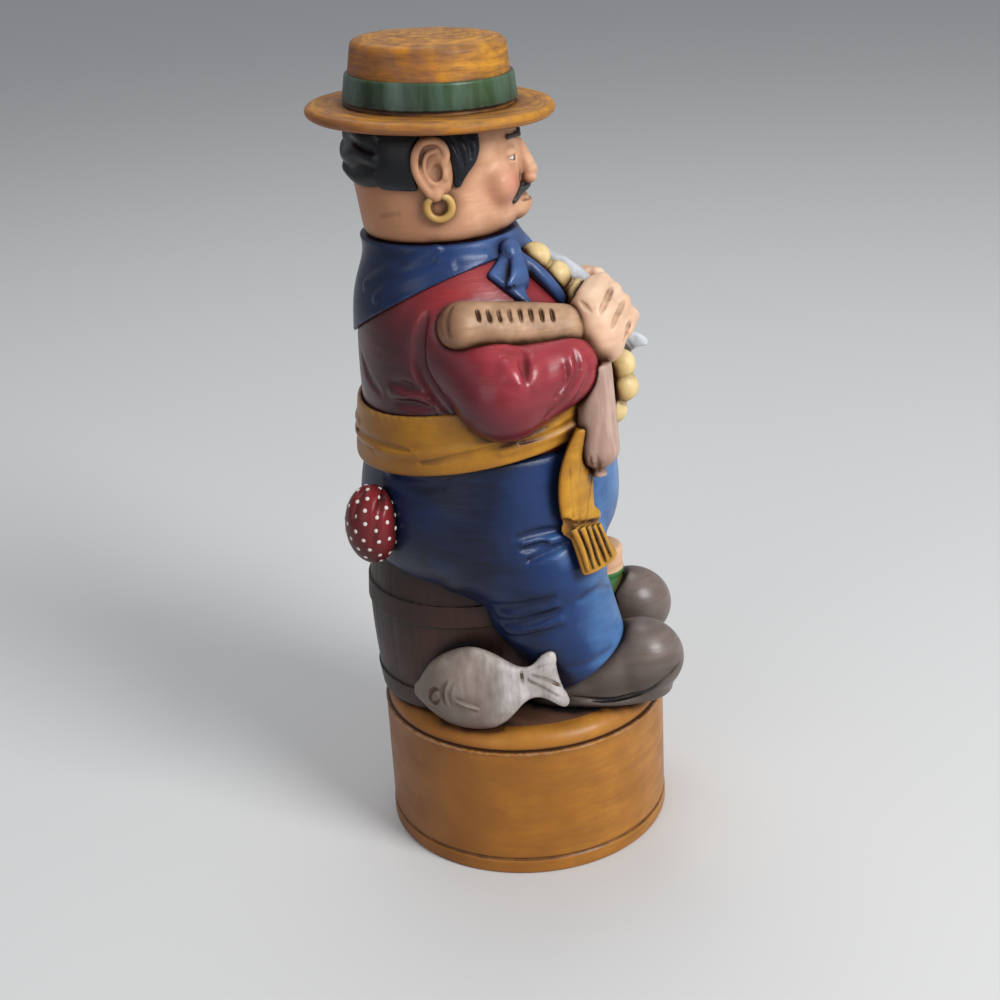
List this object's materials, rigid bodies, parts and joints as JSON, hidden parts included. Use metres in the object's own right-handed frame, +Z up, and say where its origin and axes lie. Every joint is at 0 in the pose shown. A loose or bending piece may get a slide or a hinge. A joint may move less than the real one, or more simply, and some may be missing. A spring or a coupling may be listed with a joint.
{
  "type": "figural liquor decanter",
  "caption": "Hollow painted ceramic bottle shaped as a seated market trader on a drum plinth; the hatted head lifts out of the neck as a corked stopper.",
  "frame": {"origin": "centre of the plinth's flat foot", "axes": "+Z up out of the neck; the figure faces -Y and its right side is -X"},
  "size_m": [0.128, 0.1284, 0.3099],
  "materials": {
    "ochre_paint": "hand-painted satin golden ochre with a brown wash on bisque",
    "sash_paint": "hand-painted satin golden yellow with a brown wash",
    "barrel_paint": "hand-painted matte dark brown",
    "trouser_paint": "airbrushed satin blue, darker at the back",
    "shirt_paint": "airbrushed satin maroon red",
    "kerchief_paint": "hand-painted satin blue with pale highlights",
    "skin_paint": "hand-painted matte skin tone with a brown wash",
    "sock_paint": "hand-painted satin green",
    "shoe_paint": "hand-painted satin grey-brown",
    "bread_paint": "hand-painted matte tan with a brown wash",
    "salami_paint": "hand-painted satin pinkish brown",
    "bulb_paint": "hand-painted matte pale yellow with a brown wash",
    "fish_paint": "hand-painted satin grey-brown with white fins",
    "hanky_paint": "hand-painted satin dark red with white dots",
    "hair_paint": "hand-painted satin blue-black",
    "earring_paint": "hand-painted gold",
    "band_paint": "hand-painted satin green",
    "bisque": "unpainted fired ceramic",
    "cork": "natural cork"
  },
  "bodies": {
    "bottle": {"base_drum": "ochre_paint", "barrel_seat": "barrel_paint", "trousers": "trouser_paint", "right_trouser_leg": "trouser_paint", "left_trouser_leg": "trouser_paint", "left_shin": "skin_paint", "left_sock": "sock_paint", "right_shoe": "shoe_paint", "left_shoe": "shoe_paint", "shirt_body": "shirt_paint", "right_sleeve": "shirt_paint", "left_sleeve": "shirt_paint", "right_hand": "skin_paint", "left_hand": "skin_paint", "neckerchief": "kerchief_paint", "neckerchief_knot": "kerchief_paint", "waist_sash": "sash_paint", "sash_tail": "sash_paint", "bread_loaf": "bread_paint", "salami": "salami_paint", "bulb_string": "bulb_paint", "held_fish": "fish_paint", "ground_fish": "fish_paint", "pocket_handkerchief": "hanky_paint"},
    "cork": {"cork_sleeve": "cork"},
    "stopper": {"stopper_tenon": "bisque", "head": "skin_paint", "hair": "hair_paint", "ears": "skin_paint", "earrings": "earring_paint", "eyebrows": "hair_paint", "moustache": "hair_paint", "straw_hat": "ochre_paint", "hat_band": "band_paint"}
  },
  "joints": [
    {"name": "stopper_lift", "type": "slide", "parent": "bottle", "child": "cork", "axis": [0, 0, 1], "range_m": [0, 0.07]},
    {"name": "head_turn", "type": "hinge", "parent": "cork", "child": "stopper", "pos_m": [0, 0.0225, 0.242], "axis": [0, 0, 1], "continuous": true}
  ]
}
